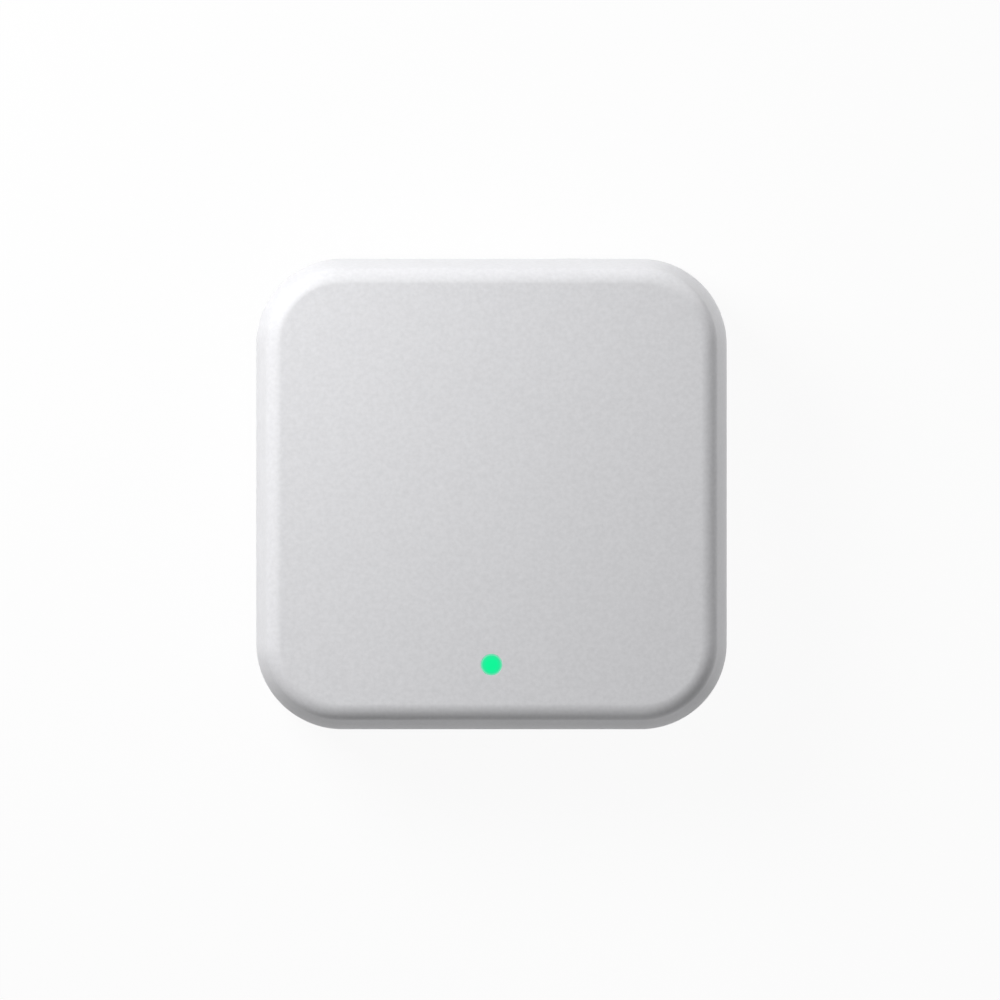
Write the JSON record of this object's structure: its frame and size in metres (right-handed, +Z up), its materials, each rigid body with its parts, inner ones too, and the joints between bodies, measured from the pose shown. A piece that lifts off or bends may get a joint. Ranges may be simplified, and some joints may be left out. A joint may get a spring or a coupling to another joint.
{
  "type": "smart home hub",
  "caption": "Low rounded-square smart home hub: white housing with curved shoulders and a flush green indicator on top, a rear USB-C power inlet and reset key, and rubber feet under the base.",
  "frame": {"origin": "centre of the hub in plan, on the surface that its feet stand on", "axes": "+Z up out of the face with the indicator, -Y to the front edge that the indicator is near, +Y out of the rear wall with the inlet and the key"},
  "size_m": [0.07, 0.07, 0.026],
  "materials": {
    "white_shell": "fine matt moulded texture",
    "white_base": "matt moulded texture",
    "white_key": "satin",
    "green_light_pipe": "clear rod lit from below",
    "grey_rubber": "matt",
    "solder_mask": "solder mask over glass fibre board",
    "steel": "plated sheet",
    "zinc_screw": "zinc plated",
    "aluminium_can": "drawn can",
    "black_moulding": "moulded",
    "lamp_moulding": "moulded",
    "tan_ceramic": "unglazed",
    "grey_ferrite": "sintered",
    "yellow_moulding": "moulded",
    "fuse_coating": "coated"
  },
  "bodies": {
    "housing": {"top_cover": "white_shell", "bottom_cover": "white_base", "light_pipe": "green_light_pipe", "main_board": "solder_mask", "status_led": "lamp_moulding", "usb_shell": "steel", "usb_tongue": "black_moulding", "reset_switch": "black_moulding", "radio_module": "solder_mask", "module_shield": "steel", "hub_radio_chip": "black_moulding", "radio_crystal": "steel", "chip_antenna": "tan_ceramic", "flash_chip": "black_moulding", "inlet_fuse": "fuse_coating", "surge_diode": "black_moulding", "bulk_capacitor": "aluminium_can", "buck_converter": "black_moulding", "power_inductor": "grey_ferrite", "output_capacitor": "yellow_moulding", "bypass_capacitor_1": "tan_ceramic", "bypass_capacitor_2": "tan_ceramic", "bypass_capacitor_3": "tan_ceramic", "bypass_capacitor_4": "tan_ceramic", "board_resistor_1": "black_moulding", "board_resistor_2": "black_moulding", "board_resistor_3": "black_moulding", "board_screw_1": "zinc_screw", "board_screw_2": "zinc_screw", "board_screw_3": "zinc_screw", "board_screw_4": "zinc_screw", "case_screw_1": "zinc_screw", "case_screw_2": "zinc_screw", "case_screw_3": "zinc_screw", "case_screw_4": "zinc_screw", "foot_1": "grey_rubber", "foot_2": "grey_rubber", "foot_3": "grey_rubber", "foot_4": "grey_rubber"},
    "reset_button": {"reset_button": "white_key"},
    "reset_stem": {"reset_stem": "steel"}
  },
  "joints": [
    {"name": "reset_button_press", "type": "slide", "parent": "housing", "child": "reset_button", "axis": [0, -1, 0], "range_m": [0, 0.0003], "stiffness_N_per_m": 400, "springref_m": -0.001},
    {"name": "reset_stem_press", "type": "slide", "parent": "housing", "child": "reset_stem", "axis": [0, -1, 0], "range_m": [0, 0.0003], "stiffness_N_per_m": 400, "springref_m": -0.001}
  ],
  "couplings": [
    {"joint": "reset_stem_press", "follows": "reset_button_press", "ratio": 1}
  ]
}
